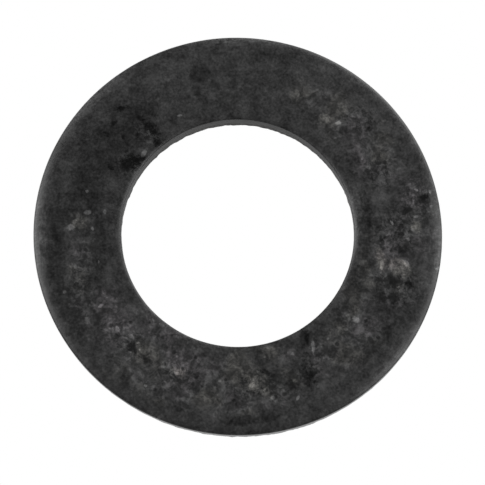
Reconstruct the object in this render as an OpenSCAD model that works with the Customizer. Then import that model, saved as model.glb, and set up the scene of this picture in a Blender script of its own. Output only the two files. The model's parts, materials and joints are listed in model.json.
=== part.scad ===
// Flat washer, blanked and pierced from steel plate in one stroke of a compound die.
// The die rolls over the upper edge of the rim and of the hole, shears a straight land
// below each roll, and tears the rest away at a slope down to the lower face.
// Origin: centre of the hole, on the lower face. +Z runs up the hole's axis.

/* [Blank] */
// Diameter across the rim's sheared land
outer_d = 50.8; // [44:0.1:64]
// Diameter of the hole at its sheared land
hole_d = 29; // [22:0.1:36]
// Thickness of the plate
thickness = 3.5; // [2.5:0.05:6]

/* [Rim] */
// How far the roll reaches in from the rim, across the upper face
rim_roll_w = 1.5; // [0.2:0.05:2]
// How far the roll drops at the rim
rim_roll_h = 0.4; // [0.1:0.01:0.5]
// Height of the rim's straight sheared land
rim_land_h = 1.2; // [0.4:0.05:1.6]
// How far the torn zone slopes in by the lower face
rim_tear_w = 0.22; // [0.05:0.01:0.4]

/* [Hole] */
// How far the roll reaches out from the hole, across the upper face
hole_roll_w = 0.9; // [0.2:0.05:1.5]
// How far the roll drops at the hole
hole_roll_h = 0.3; // [0.1:0.01:0.5]
// Height of the hole's straight sheared land
hole_land_h = 1.3; // [0.4:0.05:1.6]
// How far the torn zone slopes out by the lower face
hole_tear_w = 0.2; // [0.05:0.01:0.4]

/* [Lower edges] */
// Width of the burr edge that tumbling has worn off, at the rim and at the hole
burr_break = 0.12; // [0.05:0.01:0.3]

/* [Hidden] */

// Facets of each roll's quarter curve
ROLL_STEPS = 8;
// Facets round the washer in the preview
$fn = 180;

// One sheared edge in section, listed from the upper face down to the lower face.
// r is the land's radius, and side is +1 for the rim and -1 for the hole.
function sheared_edge(r, side, roll_w, roll_h, land_h, tear_w) = concat(
    [for (i = [0:ROLL_STEPS])
        let (turn = 90 * i / ROLL_STEPS)
        [r - side * roll_w * (1 - sin(turn)), thickness - roll_h * (1 - cos(turn))]],
    [
        [r, thickness - roll_h - land_h],
        [r - side * tear_w, burr_break],
        [r - side * (tear_w + burr_break), 0]
    ]
);

function reversed(points) = [for (i = [len(points) - 1:-1:0]) points[i]];

module washer_section() {
    rim = sheared_edge(outer_d / 2, 1, rim_roll_w, rim_roll_h, rim_land_h, rim_tear_w);
    hole = sheared_edge(hole_d / 2, -1, hole_roll_w, hole_roll_h, hole_land_h, hole_tear_w);
    polygon(concat(rim, reversed(hole)));
}

module washer() {
    color([0.14, 0.14, 0.14])
        rotate_extrude()
            washer_section();
}

washer();
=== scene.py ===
import json
import math

import bmesh
import bpy
import numpy as np
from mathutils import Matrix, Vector, noise


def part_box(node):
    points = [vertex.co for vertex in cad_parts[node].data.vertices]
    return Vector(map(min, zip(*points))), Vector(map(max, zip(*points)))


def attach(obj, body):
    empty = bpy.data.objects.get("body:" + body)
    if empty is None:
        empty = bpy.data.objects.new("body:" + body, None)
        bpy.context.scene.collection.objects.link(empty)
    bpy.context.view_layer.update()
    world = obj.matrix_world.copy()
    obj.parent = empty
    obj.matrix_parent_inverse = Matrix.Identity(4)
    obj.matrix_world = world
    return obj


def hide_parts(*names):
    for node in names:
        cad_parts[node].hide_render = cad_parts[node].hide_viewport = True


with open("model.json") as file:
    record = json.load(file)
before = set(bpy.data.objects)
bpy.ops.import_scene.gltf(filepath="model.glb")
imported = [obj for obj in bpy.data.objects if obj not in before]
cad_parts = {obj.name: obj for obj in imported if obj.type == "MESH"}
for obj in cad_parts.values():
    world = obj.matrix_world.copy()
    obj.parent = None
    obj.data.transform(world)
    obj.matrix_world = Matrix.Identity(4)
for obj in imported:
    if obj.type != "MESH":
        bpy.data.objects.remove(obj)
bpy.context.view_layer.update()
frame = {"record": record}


# ---- Camera ---------------------------------------------------------------------
# A long lens looks down on the upper face, with +Y upwards in view. It hangs a little
# towards -Y and +X, so the far side of the hole's wall and the near rim both show.

mm = 0.001
low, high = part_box("washer")
upper_face = high.z

camera_height = 256 * mm
camera_tilt = 12.9
camera_lean = 0.9
camera_right = 0.64 * mm
camera_up = -1.38 * mm
lens_length = 153
nearest_seen, farthest_seen = 10 * mm, 5

bpy.ops.object.select_all(action="DESELECT")
bpy.ops.object.camera_add(rotation=(math.radians(camera_tilt), math.radians(camera_lean), 0))
camera = bpy.context.object
camera.name = "camera"
camera.data.lens = lens_length
from_face = camera.rotation_euler.to_matrix() @ Vector((camera_right, camera_up, camera_height))
camera.location = Vector((0, 0, upper_face)) + from_face
camera.data.clip_start = nearest_seen
camera.data.clip_end = farthest_seen
bpy.context.scene.camera = camera
bpy.context.scene.view_settings.view_transform = "Standard"


# ---- Light table ------------------------------------------------------------------
# The washer lies on a white light table, which its upright walls mirror. Seen from
# below, the table is clear, so that the lower face can be looked at too.

table_size = 3.0
table_drop = 0.02 * mm
table_glow = 1.0
room_light = 0.04
backdrop_glow = 1.0
plain_white = (1, 1, 1, 1)


def add(tree, kind, inputs, **settings):
    """Adds a shader node with its settings, and sets or links its inputs by name or number."""
    made = tree.nodes.new("ShaderNode" + kind)
    for name, value in settings.items():
        setattr(made, name, value)
    for name, value in inputs.items():
        if isinstance(value, bpy.types.NodeSocket):
            tree.links.new(value, made.inputs[name])
        else:
            made.inputs[name].default_value = value
    return made


# The washer's wavy lower face touches the table only at its lowest points.
bpy.ops.mesh.primitive_plane_add(size=table_size, location=(0, 0, low.z - table_drop))
table = bpy.context.object
table.name = "light_table"
white = bpy.data.materials.new("white_table")
white.use_nodes = True
tree = white.node_tree
tree.nodes.clear()
facing = add(tree, "NewGeometry", {})
glow = add(tree, "Emission", {"Strength": table_glow})
clear = add(tree, "BsdfTransparent", {})
sides = add(tree, "MixShader", {
    "Fac": facing.outputs["Backfacing"], 1: glow.outputs["Emission"], 2: clear.outputs["BSDF"],
})
add(tree, "OutputMaterial", {"Surface": sides.outputs["Shader"]})
table.data.materials.append(white)

# The room behind is seen as white, but lights the washer only a little.
world = bpy.data.worlds.new("studio")
bpy.context.scene.world = world
world.use_nodes = True
tree = world.node_tree
tree.nodes.clear()
path = add(tree, "LightPath", {})
dim = add(tree, "Background", {"Color": plain_white, "Strength": room_light})
backdrop = add(tree, "Background", {"Color": plain_white, "Strength": backdrop_glow})
seen = add(tree, "MixShader", {
    "Fac": path.outputs["Is Camera Ray"], 1: dim.outputs["Background"], 2: backdrop.outputs["Background"],
})
add(tree, "OutputWorld", {"Surface": seen.outputs["Shader"]})


# ---- Softboxes ----------------------------------------------------------------------
# Square softboxes stand on the left and the right, and a third, lower one behind on the
# right. None hangs overhead, so the flat faces stay black and the rolled edges shine.

softbox_size = 0.55
softbox_away = 0.7


def softbox(name, bearing, elevation, power):
    """A square lamp aimed at the washer. Its bearing, in degrees, turns from +X towards +Y."""
    turn, rise = math.radians(bearing), math.radians(elevation)
    away = Vector((math.cos(turn) * math.cos(rise), math.sin(turn) * math.cos(rise), math.sin(rise)))
    facing_in = away.to_track_quat("Z", "Y").to_euler()
    bpy.ops.object.light_add(type="AREA", location=away * softbox_away, rotation=facing_in)
    lamp = bpy.context.object
    lamp.name = name
    lamp.data.shape = "SQUARE"
    lamp.data.size = softbox_size
    lamp.data.energy = power


softbox("left_softbox", bearing=168, elevation=35, power=3.3)
softbox("right_softbox", bearing=-8, elevation=40, power=2.6)
softbox("back_softbox", bearing=52, elevation=13, power=3.8)


# ---- Washer: blanked ring -----------------------------------------------------------
# One ring of hardened steel, blanked and pierced from hot-rolled plate in a compound
# die. Its section is drawn upright, from the hole to the rim, and turned on the axis.

bore = next(m for m in frame["record"]["mounts"] if m["name"] == "bore")
hole_r = bore["dims"]["r_mm"] * mm
rim_r = high.x
thick = high.z - low.z

rim_roll_w, rim_roll_h = 1.5 * mm, 0.4 * mm
hole_roll_w, hole_roll_h = 0.9 * mm, 0.3 * mm
burr_break = 0.12 * mm
turns = 720
roll_steps, burr_steps = 8, 2
upper_cuts, lower_cuts, wall_cuts = 45, 28, 16
touching = 0.001 * mm
seam_gap = 0.005 * mm

bpy.ops.object.select_all(action="DESELECT")
bpy.ops.mesh.primitive_plane_add(
    size=1, location=((hole_r + rim_r) / 2, 0, thick / 2), rotation=(math.pi / 2, 0, 0)
)
washer = bpy.context.object
washer.name = "blanked_ring"
washer.scale = (rim_r - hole_r, thick, 1)
bpy.ops.object.transform_apply(location=True, rotation=True, scale=True)


def pick(kind, test):
    """Selects, in edit mode, each vertex or edge whose ends all pass the test."""
    bpy.ops.mesh.select_mode(type=kind)
    bpy.ops.mesh.select_all(action="DESELECT")
    shape = bmesh.from_edit_mesh(washer.data)
    for item in shape.verts if kind == "VERT" else shape.edges:
        ends = [item.co] if kind == "VERT" else [v.co for v in item.verts]
        item.select_set(all(test(p) for p in ends))
    shape.select_flush_mode()
    bmesh.update_edit_mesh(washer.data)


def near(a, b):
    return abs(a - b) < touching


bpy.ops.object.mode_set(mode="EDIT")
# Each roll is wider than it is deep: the section is drawn tall, rounded, and put back.
for corner_r, roll_w, roll_h in ((rim_r, rim_roll_w, rim_roll_h), (hole_r, hole_roll_w, hole_roll_h)):
    stretch = roll_w / roll_h
    pivot = (0, 0, thick)
    bpy.ops.mesh.select_all(action="SELECT")
    bpy.ops.transform.resize(value=(1, 1, stretch), center_override=pivot)
    pick("VERT", lambda p: near(p.x, corner_r) and near(p.z, thick))
    bpy.ops.mesh.bevel(offset=roll_w, segments=roll_steps, affect="VERTICES", profile=0.5)
    bpy.ops.mesh.select_all(action="SELECT")
    bpy.ops.transform.resize(value=(1, 1, 1 / stretch), center_override=pivot)
for corner_r in (rim_r, hole_r):
    pick("VERT", lambda p: near(p.x, corner_r) and near(p.z, 0))
    bpy.ops.mesh.bevel(offset=burr_break, segments=burr_steps, affect="VERTICES", profile=0.5)

# Only the section's outline is kept. Its edges are cut fine, to take the relief.
bpy.ops.mesh.select_all(action="SELECT")
bpy.ops.mesh.delete(type="ONLY_FACE")
pick("EDGE", lambda p: near(p.z, thick))
bpy.ops.mesh.subdivide(number_cuts=upper_cuts)
pick("EDGE", lambda p: near(p.z, 0))
bpy.ops.mesh.subdivide(number_cuts=lower_cuts)
pick("EDGE", lambda p: near(p.x, rim_r) or near(p.x, hole_r))
bpy.ops.mesh.subdivide(number_cuts=wall_cuts)
bpy.ops.object.mode_set(mode="OBJECT")

lathe = washer.modifiers.new("lathe", "SCREW")
lathe.axis = "Z"
lathe.angle = 2 * math.pi
lathe.steps = lathe.render_steps = turns
lathe.use_merge_vertices = True
lathe.merge_threshold = seam_gap
bpy.ops.object.modifier_apply(modifier=lathe.name)
bpy.ops.object.mode_set(mode="EDIT")
bpy.ops.mesh.select_all(action="SELECT")
bpy.ops.mesh.remove_doubles(threshold=seam_gap)
bpy.ops.mesh.normals_make_consistent(inside=False)
bpy.ops.object.mode_set(mode="OBJECT")
bpy.ops.object.shade_smooth()

# The die shears a smooth land below each roll. Lower down the plate breaks away: the
# wall slopes back from a ragged line, its surface is rough, and its foot wanders.
rim_land_h, hole_land_h = 1.2 * mm, 1.3 * mm
rim_tear_w, hole_tear_w = 0.22 * mm, 0.2 * mm
line_swing, line_wave = 0.35 * mm, 1.7 * mm
foot_swing, foot_wave = 0.07 * mm, 1.1 * mm
rough_swing, rough_wave = 0.035 * mm, 0.45 * mm
foot_shift = Vector((0, 0, 9 * mm))
tear_curve = 0.8
wall_reach = burr_break * 1.01
torn_sharpness, rough_sharpness = 8, 6
wander_softness, wander_step = 0.6, 2.0


def wander(place, size, depth):
    """Smooth noise, mostly within -1 to 1, whose waves are about size across."""
    return noise.fractal(place / size, wander_softness, wander_step, depth)


torn = washer.data.attributes.new("torn", "FLOAT", "POINT")
# Each wall's radius, the way into the steel (+1 outwards), and its roll, land and tear.
walls = (
    (rim_r, -1, rim_roll_h, rim_land_h, rim_tear_w),
    (hole_r, 1, hole_roll_h, hole_land_h, hole_tear_w),
)
for vertex in washer.data.vertices:
    p = vertex.co
    r = math.hypot(p.x, p.y)
    out = Vector((p.x / r, p.y / r, 0))
    for wall_r, way, roll_h, land_h, tear_w in walls:
        if (r - wall_r) * way > wall_reach or p.z > thick - roll_h:
            continue
        line = out * wall_r
        break_z = thick - roll_h - land_h + line_swing * wander(line, line_wave, 3)
        fall = max(0.0, (break_z - p.z) / break_z)
        torn.data[vertex.index].value = min(1.0, fall * torn_sharpness)
        foot = foot_swing * wander(line + foot_shift, foot_wave, 2) * fall
        rough = rough_swing * wander(p, rough_wave, 2) * min(1.0, fall * rough_sharpness)
        vertex.co += out * way * (tear_w * fall ** tear_curve + foot + rough)

# Released from the die and quenched, the ring is slightly out of round.
rim_oval, hole_oval = 0.14 * mm, 0.05 * mm
oval_turn = math.radians(137)
for vertex in washer.data.vertices:
    p = vertex.co
    r = math.hypot(p.x, p.y)
    share = (r - hole_r) / (rim_r - hole_r)
    lobes = math.cos(2 * (math.atan2(p.y, p.x) - oval_turn))
    oval = (hole_oval + (rim_oval - hole_oval) * share) * lobes
    vertex.co += Vector((p.x / r, p.y / r, 0)) * oval

# Rolling and heat treatment leave the faces a little wavy, and the black scale on
# them lies in low flakes and pits.
wave_size, wave_depth = 6 * mm, 0.03 * mm
flake_size, flake_depth = 0.9 * mm, 0.012 * mm
for name, size, strength in (("waves", wave_size, wave_depth), ("flakes", flake_size, flake_depth)):
    cloud = bpy.data.textures.new(name, "CLOUDS")
    cloud.noise_scale = size
    cloud.noise_depth = 2
    relief = washer.modifiers.new(name, "DISPLACE")
    relief.texture = cloud
    relief.texture_coords = "LOCAL"
    relief.mid_level = 0.5
    relief.strength = strength
    bpy.ops.object.modifier_apply(modifier=relief.name)


# ---- Washer: black scale ------------------------------------------------------------
# Quenching and tempering leave a thin black oxide, dull grey where it is sound. Where it
# has flaked or taken up grime it turns pale and mottled; where it is thick, nearly black.

points = np.empty(len(washer.data.vertices) * 3)
washer.data.vertices.foreach_get("co", points)
points = points.reshape(-1, 3) / mm


def paint(name, patches):
    """
    Paints oval patches on the upper face, each (x, y, length, width, turn) in millimetres
    and degrees. The paint is 1 in the middle of a patch, a half at its edge, then fades to 0.
    """
    best = np.zeros(len(points))
    for x, y, length, width, turn in patches:
        c, s = math.cos(math.radians(turn)), math.sin(math.radians(turn))
        across, up = points[:, 0] - x, points[:, 1] - y
        away = np.hypot((across * c + up * s) / (length / 2), (up * c - across * s) / (width / 2))
        best = np.maximum(best, 1 - away / 2)
    best[points[:, 2] < thick / mm - rim_roll_h / mm] = 0
    layer = washer.data.attributes.new(name, "FLOAT", "POINT")
    layer.data.foreach_set("value", best)
    return best


# Flaked, mottled ground round the rim and across the lower left.
paint("mottled", [
    (-15.5, -11, 8, 5, 125), (-9, -17, 13, 8, 150), (-1, -19, 10, 7, 0), (5, -19.8, 6, 3.6, 20),
    (13.5, -13.5, 10, 6, 45), (18.5, -5, 6, 9, 0), (22, 2, 4, 9, 0), (17, 10, 6, 8, 30),
    (13, 14.5, 7, 5, 135), (-19.3, -3.5, 3, 5, 0), (-19.8, 1.0, 2.0, 2.8, 0), (5, -15.5, 5, 2, 0),
    (-19, -10, 6, 2.4, 115), (-9, -12.5, 5, 4, 140), (9, 17.5, 5, 3, 150), (14, -9, 3, 5, 0),
])
# Broad darker ground.
paint("thick_scale", [
    (-13.0, 13.9, 6.5, 5.5, 40), (-14.6, 9.6, 4.5, 4.5, 45), (-17.2, 10.6, 8, 5, 60),
    (-19.0, 5.4, 6, 4.6, 80), (-22.6, -1, 2.4, 14, 2), (-17.2, -1.5, 1.8, 9, 0), (-18.4, -3.0, 3, 3, 0),
    (-17.8, -7.8, 2.4, 5, 10), (-20.6, -9.6, 7, 2.8, 118), (-17.4, -12.4, 3, 1.6, 120),
    (-18.8, 0.3, 1.8, 1.8, 0), (21.0, 2.8, 1.4, 1.4, 90), (23.2, 3.6, 2.0, 1.8, 90),
    (8.7, -17.8, 3.4, 2.4, 90), (8.4, -13.6, 1.8, 2.4, 0), (6.5, -19.1, 3.0, 3.0, 0),
    (20.0, -2.2, 2.4, 3.0, 0), (18.6, -8.6, 3.8, 5.8, 0), (13.4, -15.6, 3.6, 2.0, 0),
    (-12.4, -14.4, 3.6, 1.8, 150), (4.2, -18.9, 4.4, 2.2, 12), (15.8, 1, 1.8, 8, 0),
    (12.6, -10.4, 8, 1.9, 49), (17.4, -13.6, 6, 2.0, 50), (1.5, -23.6, 7, 1.2, 3), (23.4, 1.6, 1, 2, 0),
    (-13.5, -19.0, 2.2, 1.6, 140), (-17.5, -10.0, 3.0, 2.8, 110), (5.4, -20.6, 2.4, 1.6, 10),
    (9.5, -15.9, 1.8, 2.4, 0), (17.8, 8.0, 3.4, 1.8, 0), (15.4, -5.6, 1.8, 2.6, 0),
    (-16.2, 2.0, 2.2, 2.0, 0), (-20.7, 2.3, 1.6, 1.6, 0), (-10.1, -17.5, 1.8, 1.6, 150),
    (19.9, -0.9, 1.2, 1.8, 0), (11.2, -11.7, 3.0, 1.4, 46), (-4.8, 20.4, 3.0, 2.4, 0),
    (13.9, -7.4, 3.6, 1.4, 63), (12.4, -14.6, 1.8, 1.6, 0), (-7.0, -21.9, 2.6, 1.4, 165),
    (-7.0, -19.2, 2.0, 1.2, 0),
])
# Pale dusty ground, smoother than the rest.
paint("dusty", [
    (-12.8, -11.1, 5.0, 3.4, 145), (-13.0, -16.1, 3.4, 2.6, 135), (-8.6, 20.8, 5.0, 3.4, 25),
    (11.6, -19.2, 3.6, 1.8, 30), (16.0, 16.0, 2.4, 4.8, 40), (12.6, 20.0, 4.0, 1.8, 145),
    (-4.0, -22.4, 4.0, 2.4, 170), (6.3, -14.9, 2.0, 1.2, 20), (17.6, 4.2, 1.8, 2.6, 0),
    (-15.0, 19.2, 4, 1.2, 40), (-4.0, -20.6, 2.2, 1.8, 0), (-1.9, 23.0, 3.6, 1.6, 0),
    (0.5, -17.4, 2.0, 1.6, 0), (-8.6, -16.0, 2.2, 1.6, 0), (20.2, 8.0, 1.6, 2.2, 0),
    (9.4, 19.5, 4.8, 2.2, 155), (15.6, -8.6, 1.4, 1.8, 0), (23.0, -6.3, 1.6, 3.4, 0),
    (21.6, 2.0, 1.4, 1.4, 0), (11.0, -17.6, 2.0, 1.6, 0), (18.4, 13.8, 1.6, 2.4, 40),
    (-20.4, -4.0, 1.6, 2.4, 0),
])
# Crust: scale that has burst into dark hollows and pale lumps.
paint("crust", [
    (19.5, -0.5, 5, 6, 0), (19.8, -6.5, 5, 6, 20), (22.2, 3.8, 3.5, 5, 0), (15.6, 14.2, 3, 3.5, 20),
    (2.2, -19.2, 5.6, 3, 10), (9, -17, 3, 5, 0), (-13.5, -13.5, 6, 3, 145), (-7.2, -17.8, 4, 3, 150),
    (-13.4, 8.9, 3.6, 2.6, 0), (17.5, 7.5, 3, 4, 20), (-19.5, -6, 2.4, 4, 10),
    (-11.5, 13.2, 4, 2.4, 135),
])
# Burnt, nearly black spots.
paint("burnt", [
    (-10.6, 13.1, 2.8, 1.1, 130), (-13.2, 8.9, 3.0, 1.6, 20), (-14.6, 16.0, 1.5, 0.8, 20),
    (-10.1, 11.6, 0.9, 1.1, 0), (-12.2, 14.7, 1.2, 0.5, 145), (21.1, 2.5, 1.2, 1.0, 60),
    (20.3, 0.0, 0.7, 1.8, 0), (21.4, -0.4, 0.4, 1.7, 5), (19.2, -6.4, 0.8, 1.5, 20),
    (21.3, -6.8, 1.2, 0.8, 0), (19.2, -8.5, 1.1, 1.2, 0), (23.2, 4.1, 1.1, 0.8, 30),
    (9.0, -18.1, 0.9, 1.6, 10), (6.6, -19.2, 1.5, 1.2, 20), (3.2, -17.7, 1.2, 0.6, 0),
    (1.6, -20.2, 2.2, 0.6, 0), (8.5, -13.5, 0.6, 2.0, 10), (-12.9, -14.5, 1.0, 1.4, 20),
    (-11.2, -16.1, 0.9, 0.8, 0), (-5.0, -18.0, 0.8, 0.8, 0), (-2.4, -21.4, 0.7, 0.7, 0),
    (16.4, 13.2, 0.7, 0.8, 0), (20.2, -2.4, 0.6, 1.0, 0), (18.0, -8.4, 0.7, 1.6, 0),
    (-15.6, 14.0, 0.9, 0.6, 30), (-16.4, 12.6, 0.6, 0.7, 0), (-12.4, 12.5, 0.9, 0.5, 20),
    (-14.4, 12.2, 0.5, 0.6, 0), (-15.8, 8.2, 0.7, 0.5, 0),
])
# Sandy scabs, where the scale has lifted.
paint("scabs", [
    (17.8, -3.7, 1.3, 2.8, 10), (20.0, -4.8, 2.2, 2.8, 40), (1.9, -19.3, 1.9, 1.5, 20),
    (-7.1, -17.8, 2.0, 1.2, 160), (22.2, 0.6, 1.1, 1.6, 0), (11.2, 14.5, 1.6, 1.4, 20),
])
# Bare chips and flakes.
paint("chips", [
    (-11.7, 10.2, 1.1, 0.6, 60), (-20.7, 0.6, 1.1, 0.8, 20), (-20.3, 1.3, 0.9, 0.5, 60),
    (-18.7, 2.5, 1.0, 0.6, 10), (-16.5, 2.6, 0.4, 0.6, 0), (-16.8, -9.3, 0.9, 0.4, 35),
    (-14.7, -12.3, 0.5, 0.8, 0), (-13.1, -13.2, 0.9, 0.5, 150), (-12.2, -14.0, 0.7, 0.4, 10),
    (12.6, 13.9, 1.0, 0.5, 20), (14.6, -11.2, 1.0, 0.8, 120), (24.8, -4.8, 0.6, 0.4, 45),
    (4.3, -20.8, 0.6, 0.5, 30), (-7.3, 15.0, 0.8, 0.3, 10), (-18.8, 5.2, 0.4, 0.4, 0),
    (7.4, -20.9, 0.7, 0.4, 60), (19.2, 1.0, 0.3, 0.8, 30), (9.3, -14.6, 0.4, 1.7, 5),
    (-11.2, -19.3, 0.4, 0.4, 0), (20.9, -4.1, 0.7, 1.0, 30), (17.9, -4.3, 0.5, 1.2, 0),
    (-21.3, -7.6, 0.5, 0.4, 0), (24.1, 3.1, 0.6, 0.3, 30), (22.3, 5.2, 0.7, 0.3, 160),
    (21.9, 3.8, 0.3, 0.8, 0), (24.0, 5.0, 0.3, 0.7, 20), (22.3, 1.8, 0.8, 0.3, 10),
    (-7.5, -17.8, 1.1, 0.5, 160), (1.8, -19.3, 0.9, 0.6, 20), (-18.0, 0.4, 0.3, 0.6, 20),
    (-17.2, -3.8, 0.3, 0.5, 0),
])
# Painted highlight on the rolled edges, which it makes paler: most of the rim on the left and right, and
# part of the hole.
paint("painted_highlight", [
    (-25.4, 1, 3.1, 20, 0), (-19.3, 16.8, 14, 2.1, 48), (25.4, -1, 2.9, 22, 0),
    (19.6, -16.7, 15, 2.5, 50), (0, 25.4, 20, 1.8, 0), (14.6, 1.5, 2.5, 7, 0),
])
# Three worn centre-punch dots.
punched = paint("punch", [
    (-5.2, 18.3, 1.5, 1.5, 0), (-2.9, 18.8, 1.5, 1.5, 0), (-0.6, 19.0, 1.5, 1.5, 0),
])
punch_depth, punch_lip, punch_slope = 0.08, 0.35, 0.4
points[:, 2] -= punch_depth * np.clip((punched - punch_lip) / punch_slope, 0, 1)
washer.data.vertices.foreach_set("co", (points * mm).ravel())


def maths(tree, operation, a, b=0.0, c=0.0):
    return add(tree, "Math", {0: a, 1: b, 2: c}, operation=operation).outputs[0]


def vector_maths(tree, operation, a, b):
    return add(tree, "VectorMath", {0: a, 1: b}, operation=operation).outputs["Vector"]


def ramp(tree, value, start, end, low_value=0.0, high_value=1.0):
    """Turns start..end into low_value..high_value along a smooth step."""
    return add(tree, "MapRange", {
        "Value": value, "From Min": start, "From Max": end,
        "To Min": low_value, "To Max": high_value,
    }, interpolation_type="SMOOTHSTEP").outputs["Result"]


def swing(tree, place, size, detail, roughness, distortion=0.0):
    """Noise from about -1 to 1, in blotches about size millimetres across."""
    gain = 4.0
    fac = add(tree, "TexNoise", {
        "Vector": place, "Scale": 1 / size, "Detail": detail, "Roughness": roughness,
        "Distortion": distortion,
    }).outputs["Fac"]
    return maths(tree, "MULTIPLY_ADD", fac, gain, -gain / 2)


def total(tree, start, *parts):
    """Adds each (value, strength) to the start."""
    for value, strength in parts:
        start = maths(tree, "MULTIPLY_ADD", value, strength, start)
    return start


def painted(tree, name):
    """The paint of that name, read from the washer's points."""
    return add(tree, "Attribute", {}, attribute_name=name).outputs["Fac"]


def ragged(tree, paint_value, noise_value, bite, soft):
    """The mask of a painted layer, whose edge the noise bites into and soft widens."""
    level = maths(tree, "MULTIPLY_ADD", noise_value, bite, paint_value)
    return ramp(tree, level, 0.5 - soft / 2, 0.5 + soft / 2)


def new_group(name, inputs, outputs):
    """A node group whose sockets are given as (kind, name), and its two ends."""
    group = bpy.data.node_groups.new(name, "ShaderNodeTree")
    for way, sockets in (("INPUT", inputs), ("OUTPUT", outputs)):
        for kind, title in sockets:
            group.interface.new_socket(name=title, in_out=way, socket_type="NodeSocket" + kind)
    return group, group.nodes.new("NodeGroupInput"), group.nodes.new("NodeGroupOutput")


def use_group(tree, group, inputs):
    """Places a node group with its inputs set or linked by name, and gives its outputs."""
    made = tree.nodes.new("ShaderNodeGroup")
    made.node_tree = group
    for name, value in inputs.items():
        if isinstance(value, bpy.types.NodeSocket):
            tree.links.new(value, made.inputs[name])
        else:
            made.inputs[name].default_value = value
    return made.outputs


# Scale grain: fine tooth and soft blotches, as a tone about 0 and a height about a half.
tooth_size, tooth_height = 0.30, 0.20
blotch_size, blotch_height = 1.7, 0.22
grain_group, group_in, group_out = new_group(
    "scale_grain", [("Vector", "Place"), ("Float", "Tooth"), ("Float", "Blotch")],
    [("Float", "Tone"), ("Float", "Height")],
)
tooth = swing(grain_group, group_in.outputs["Place"], tooth_size, detail=2.5, roughness=0.6)
blotch = swing(grain_group, group_in.outputs["Place"], blotch_size, detail=5, roughness=0.62)
tone = maths(grain_group, "MULTIPLY", tooth, group_in.outputs["Tooth"])
tone = maths(grain_group, "MULTIPLY_ADD", blotch, group_in.outputs["Blotch"], tone)
grain_group.links.new(tone, group_out.inputs["Tone"])
height = total(grain_group, 0.5, (tooth, tooth_height), (blotch, blotch_height))
grain_group.links.new(height, group_out.inputs["Height"])

# Flecks: small bare or dusty specks, one to a cell at most, of mixed sizes.
fleck_edge, fleck_heart = 1.0, 0.4
fleck_group, group_in, group_out = new_group(
    "flecks", [("Vector", "Place"), ("Float", "Spacing"), ("Float", "Size"), ("Float", "Share")],
    [("Float", "Mask")],
)
per_mm = maths(fleck_group, "DIVIDE", 1.0, group_in.outputs["Spacing"])
cells = add(fleck_group, "TexVoronoi", {
    "Vector": group_in.outputs["Place"], "Scale": per_mm, "Randomness": 1.0,
})
draw = add(fleck_group, "SeparateXYZ", {"Vector": cells.outputs["Color"]})
chosen = maths(fleck_group, "LESS_THAN", draw.outputs["X"], group_in.outputs["Share"])
reach = maths(fleck_group, "MULTIPLY", draw.outputs["Y"], group_in.outputs["Size"])
reach = maths(fleck_group, "MULTIPLY", reach, per_mm)
fade = maths(fleck_group, "DIVIDE", cells.outputs["Distance"], reach)
dot = maths(fleck_group, "MULTIPLY", ramp(fleck_group, fade, fleck_edge, fleck_heart), chosen)
fleck_group.links.new(dot, group_out.inputs["Mask"])

# Scale colour: a grey as the eye judges it, from 0 black to 255 white, made a paint colour.
# Warm turns it towards tan and Purple towards violet, by these shares of each colour.
darkest_grey, white_grey, eye_power = 14.0, 255.0, 2.2
warm_red, warm_blue = 0.03, -0.07
purple_red, purple_green, purple_blue = 0.03, -0.03, 0.01
colour_group, group_in, group_out = new_group(
    "scale_colour", [("Float", "Grey"), ("Float", "Warm"), ("Float", "Purple")], [("Color", "Colour")],
)
grey = maths(colour_group, "MAXIMUM", group_in.outputs["Grey"], darkest_grey)
grey = maths(colour_group, "DIVIDE", grey, white_grey)
grey = maths(colour_group, "POWER", grey, eye_power)
warm, purple = group_in.outputs["Warm"], group_in.outputs["Purple"]
red = total(colour_group, 1.0, (warm, warm_red), (purple, purple_red))
green = total(colour_group, 1.0, (purple, purple_green))
blue = total(colour_group, 1.0, (warm, warm_blue), (purple, purple_blue))
mixed = add(colour_group, "CombineColor", {
    "Red": maths(colour_group, "MULTIPLY", red, grey),
    "Green": maths(colour_group, "MULTIPLY", green, grey),
    "Blue": maths(colour_group, "MULTIPLY", blue, grey),
})
colour_group.links.new(mixed.outputs["Color"], group_out.inputs["Colour"])


def new_material(name):
    """A material that starts with the place on the washer, in millimetres."""
    made = bpy.data.materials.new(name)
    made.use_nodes = True
    made.node_tree.nodes.clear()
    metres = add(made.node_tree, "TexCoord", {}).outputs["Object"]
    place = add(made.node_tree, "VectorMath", {0: metres, "Scale": 1 / mm}, operation="SCALE")
    return made, made.node_tree, place.outputs["Vector"]


# Sizes of the scale's blotches, streaks and pits, in millimetres.
drift_size, nibble_size, lace_size, burst_size = 2.4, 0.9, 1.1, 0.8
speckle_size, streak_size, tint_size, under_size = 0.35, 0.4, 5, 9
pit_spacing, pit_share = 1.25, 0.5
pit_edge, pit_heart, pit_wobble = 0.28, 0.12, 0.10
halo_edge, halo_heart = 0.46, 0.27
speck_spacing, speck_size, speck_share = 1.1, 0.34, 0.40
# The heights between which the lower face's own patches come in, and where they lie.
upper_limit, lower_limit = 1.4, 1.0
under_start, under_full = -0.1, 0.4
# How much paint starts, fills, ends and fades the pale ring round a punched dot, a painted highlight on
# its lip.
ring_start, ring_full, ring_end, ring_fades = 0.18, 0.36, 0.6, 0.42
# Where along the tint's swing the mottled ground turns tan, or violet.
tan_start, tan_full, violet_start, violet_full = 0.0, 0.6, 0.1, -0.5

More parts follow.
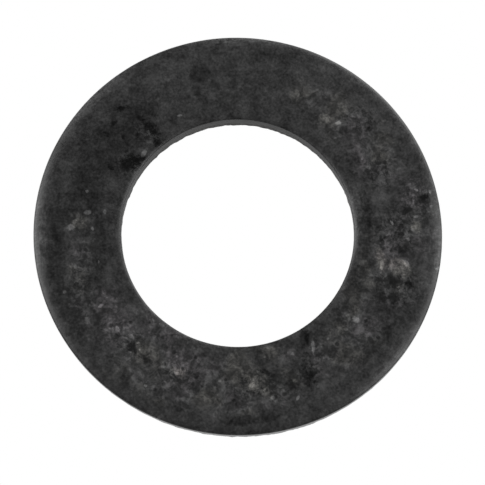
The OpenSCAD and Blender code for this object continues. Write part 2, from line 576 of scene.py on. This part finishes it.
# Greys run from 0 black to 255 white, and each tone is how far a mark moves the grey.
sound_grey = 50.2
tooth_tone, blotch_tone = 14.0, 15.8
zone_tone, lace_tone, halo_tone, pit_tone = 3.0, 29.0, 11.0, -32.0
thick_tone, thick_heart_tone = -8.48, -10.6
dusty_tone, burst_tone, scab_tone, sand_tone = 9.5, 19.0, 20.0, 20.0
speck_tone, speck_zone_tone, chip_tone, burnt_tone = 9.0, 24.0, 46.0, -22.0
# These tones paint a highlight onto the rolled edges of the rim and the hole.
highlight_tone, highlight_streak_tone, highlight_nibble_tone, highlight_speckle_tone = 23.0, 24.0, 20.0, 14.0
# These tones paint shade into the punched dots and a highlight round their lips.
punch_shade_tone, punch_highlight_tone = -9.0, 7.0

# How rough each mark makes the scale, and how far it stands up in the bump.
scale_roughness = 0.40
zone_dulls, scab_dulls, burnt_dulls, grain_dulls = 0.10, 0.15, -0.08, 0.004
lace_rises, pit_rises, scab_rises, burst_rises = 0.25, -0.5, 0.3, 0.25
scale_bump_depth, scale_bump_strength = 0.02 * mm, 0.6

black, tree, place = new_material("black_scale")
drift = swing(tree, place, drift_size, detail=4, roughness=0.6)
nibble = swing(tree, place, nibble_size, detail=4, roughness=0.85, distortion=0.5)

# Mottled ground is laced with pale scale, and has dark pits with a pale halo.
zone = ragged(tree, painted(tree, "mottled"), drift, bite=0.26, soft=0.5)
spot = add(tree, "SeparateXYZ", {"Vector": place}).outputs
below = ramp(tree, spot["Z"], upper_limit, lower_limit)
under_drift = swing(tree, place, under_size, detail=3, roughness=0.5)
under_zone = ramp(tree, under_drift, under_start, under_full)
zone = maths(tree, "MULTIPLY_ADD", below, under_zone, zone)
lace = swing(tree, place, lace_size, detail=4, roughness=0.65, distortion=0.5)
lace = ramp(tree, lace, -0.5, 0.7, low_value=-0.55, high_value=1.0)
laced = maths(tree, "MULTIPLY", lace, zone)
cells = add(tree, "TexVoronoi", {"Vector": place, "Scale": 1 / pit_spacing, "Randomness": 1.0})
pit_draw = add(tree, "SeparateXYZ", {"Vector": cells.outputs["Color"]}).outputs["X"]
pit_here = maths(tree, "MULTIPLY", maths(tree, "GREATER_THAN", pit_draw, pit_share), zone)
pit_away = maths(tree, "MULTIPLY_ADD", nibble, pit_wobble, cells.outputs["Distance"])
pit = maths(tree, "MULTIPLY", ramp(tree, pit_away, pit_edge, pit_heart), pit_here)
halo = maths(tree, "MULTIPLY", ramp(tree, pit_away, halo_edge, halo_heart), pit_here)

# The painted layers.
thick_paint = painted(tree, "thick_scale")
thick_grey = maths(tree, "MULTIPLY_ADD", thick_paint, thick_heart_tone, thick_tone)
thick_mask = ragged(tree, thick_paint, nibble, bite=0.26, soft=0.22)
thickened = maths(tree, "MULTIPLY", thick_mask, thick_grey)
dusty = ragged(tree, painted(tree, "dusty"), nibble, bite=0.20, soft=0.5)
crust = ragged(tree, painted(tree, "crust"), nibble, bite=0.30, soft=0.5)
lumps = swing(tree, place, burst_size, detail=4, roughness=0.8, distortion=0.6)
lumps = ramp(tree, lumps, -0.4, 0.45, low_value=-1.0, high_value=1.0)
burst = maths(tree, "MULTIPLY", lumps, crust)
burnt = ragged(tree, painted(tree, "burnt"), nibble, bite=0.50, soft=0.45)
scabs = ragged(tree, painted(tree, "scabs"), nibble, bite=0.42, soft=0.3)
chips = ragged(tree, painted(tree, "chips"), nibble, bite=0.30, soft=0.25)
# The punched dots are painted darker, as shade in their hollows, and ringed with a painted highlight.
punch_paint = painted(tree, "punch")
punch = ragged(tree, punch_paint, nibble, bite=0.10, soft=0.3)
ring_outside = ramp(tree, punch_paint, ring_start, ring_full)
ring_inside = ramp(tree, punch_paint, ring_end, ring_fades)
punch_highlight = maths(tree, "MULTIPLY", ring_outside, ring_inside)

grain = use_group(tree, grain_group, {"Place": place, "Tooth": tooth_tone, "Blotch": blotch_tone})
speckle = swing(tree, place, speckle_size, detail=2, roughness=0.7)
sand = maths(tree, "MULTIPLY", speckle, scabs)
specks = use_group(tree, fleck_group, {
    "Place": place, "Spacing": speck_spacing, "Size": speck_size, "Share": speck_share,
})["Mask"]
speck_grey = maths(tree, "MULTIPLY_ADD", zone, speck_zone_tone, speck_tone)
specks = maths(tree, "MULTIPLY", specks, speck_grey)

# The painted highlight runs in fine streaks round the ring.
streak_stretch = 0.25
flat = vector_maths(tree, "MULTIPLY", place, (1, 1, 0))
from_axis = add(tree, "VectorMath", {0: flat}, operation="LENGTH").outputs["Value"]
round_ring = add(tree, "CombineXYZ", {
    "X": from_axis,
    "Y": maths(tree, "MULTIPLY", spot["X"], streak_stretch),
    "Z": maths(tree, "MULTIPLY", spot["Y"], streak_stretch),
}).outputs["Vector"]
streak = swing(tree, round_ring, streak_size, detail=4, roughness=0.85)
painted_highlight = ragged(tree, painted(tree, "painted_highlight"), streak, bite=0.15, soft=0.9)
highlight_grey = total(
    tree, highlight_tone, (streak, highlight_streak_tone), (nibble, highlight_nibble_tone), (speckle, highlight_speckle_tone)
)
painted_highlight = maths(tree, "MULTIPLY", painted_highlight, highlight_grey)

# The grey sums the marks, among them the painted highlight on the rolled edges.
grey = maths(tree, "ADD", grain["Tone"], sound_grey)
grey = total(
    tree, grey, (zone, zone_tone), (laced, lace_tone), (halo, halo_tone), (pit, pit_tone),
    (thickened, 1.0), (dusty, dusty_tone), (burst, burst_tone), (scabs, scab_tone), (sand, sand_tone),
    (specks, 1.0), (chips, chip_tone), (burnt, burnt_tone), (painted_highlight, 1.0), (punch, punch_shade_tone),
    (punch_highlight, punch_highlight_tone),
)
tint = swing(tree, place, tint_size, detail=2, roughness=0.5)
tan = ramp(tree, tint, tan_start, tan_full)
warm = maths(tree, "MAXIMUM", maths(tree, "MULTIPLY", zone, tan), scabs)
violet = ramp(tree, tint, violet_start, violet_full)
purple = maths(tree, "MULTIPLY", zone, violet)
colour = use_group(tree, colour_group, {"Grey": grey, "Warm": warm, "Purple": purple})["Colour"]
roughness = total(
    tree, scale_roughness,
    (zone, zone_dulls), (scabs, scab_dulls), (burnt, burnt_dulls), (grain["Tone"], grain_dulls),
)
relief = total(
    tree, grain["Height"],
    (laced, lace_rises), (pit, pit_rises), (scabs, scab_rises), (burst, burst_rises),
)
bump = add(tree, "Bump", {
    "Strength": scale_bump_strength, "Distance": scale_bump_depth, "Height": relief,
})
skin = add(tree, "BsdfPrincipled", {
    "Base Color": colour, "Roughness": roughness, "Normal": bump.outputs["Normal"],
})
add(tree, "OutputMaterial", {"Surface": skin.outputs["BSDF"]})
washer.data.materials.append(black)


# ---- Washer: sheared and torn walls ---------------------------------------------------
# The scale is thin on the walls. The lands keep the die's upright drag lines; the torn
# zones below them are granular and dull, most of all in the hole.

# Sizes in millimetres, then tones as on the scale.
drag_size, wide_drag_size, crumb_size, drag_stretch = 0.35, 1.6, 0.4, 0.10
nick_spacing, nick_size, nick_share = 0.9, 0.22, 0.35
drag_tone, wide_drag_tone, crumb_tone, nick_tone = 9.0, 7.0, 16.0, 14.0
edge_tooth_tone, edge_blotch_tone = 2.0, 3.0
land_roughness, torn_extra, hole_extra, drag_extra = 0.32, 0.15, 0.36, 0.03
mid_relief, drag_rises, crumb_rises = 0.5, 0.12, 0.45
edge_bump_depth, edge_bump_strength = 0.03 * mm, 0.7
# The radii between which the rim's finish gives way to the hole's.
rim_side, hole_side = 21, 18
# Faces steeper than this belong to a wall.
wall_slope = 0.6

edge, tree, place = new_material("sheared_edge")
upright = vector_maths(tree, "MULTIPLY", place, (1, 1, drag_stretch))
tear = painted(tree, "torn")
land = maths(tree, "SUBTRACT", 1.0, tear)
drag = swing(tree, upright, drag_size, detail=3, roughness=0.7)
drag_on_land = maths(tree, "MULTIPLY", drag, land)
wide_drag = swing(tree, upright, wide_drag_size, detail=2, roughness=0.5)
wide_drag_on_land = maths(tree, "MULTIPLY", wide_drag, land)
crumbs = swing(tree, place, crumb_size, detail=4, roughness=0.75)
crumbs_in_tear = maths(tree, "MULTIPLY", crumbs, tear)
grain = use_group(tree, grain_group, {
    "Place": place, "Tooth": edge_tooth_tone, "Blotch": edge_blotch_tone,
})
nicks = use_group(tree, fleck_group, {
    "Place": place, "Spacing": nick_spacing, "Size": nick_size, "Share": nick_share,
})["Mask"]
grey = maths(tree, "ADD", grain["Tone"], sound_grey)
grey = total(
    tree, grey, (drag_on_land, drag_tone), (wide_drag_on_land, wide_drag_tone),
    (crumbs_in_tear, crumb_tone), (nicks, nick_tone),
)
colour = use_group(tree, colour_group, {"Grey": grey, "Warm": tear, "Purple": 0.0})["Colour"]
flat = vector_maths(tree, "MULTIPLY", place, (1, 1, 0))
from_axis = add(tree, "VectorMath", {0: flat}, operation="LENGTH").outputs["Value"]
in_hole = ramp(tree, from_axis, rim_side, hole_side)
roughness = total(
    tree, land_roughness, (tear, torn_extra), (in_hole, hole_extra), (drag, drag_extra)
)
relief = total(tree, mid_relief, (drag_on_land, drag_rises), (crumbs_in_tear, crumb_rises))
bump = add(tree, "Bump", {
    "Strength": edge_bump_strength, "Distance": edge_bump_depth, "Height": relief,
})
skin = add(tree, "BsdfPrincipled", {
    "Base Color": colour, "Roughness": roughness, "Normal": bump.outputs["Normal"],
})
add(tree, "OutputMaterial", {"Surface": skin.outputs["BSDF"]})
washer.data.materials.append(edge)

for face in washer.data.polygons:
    inside = math.hypot(face.center.x, face.center.y) < (rim_r + hole_r) / 2
    roll_h = hole_roll_h if inside else rim_roll_h
    if abs(face.normal.z) < wall_slope and face.center.z < thick - roll_h:
        face.material_index = 1

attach(washer, "root")
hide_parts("washer")
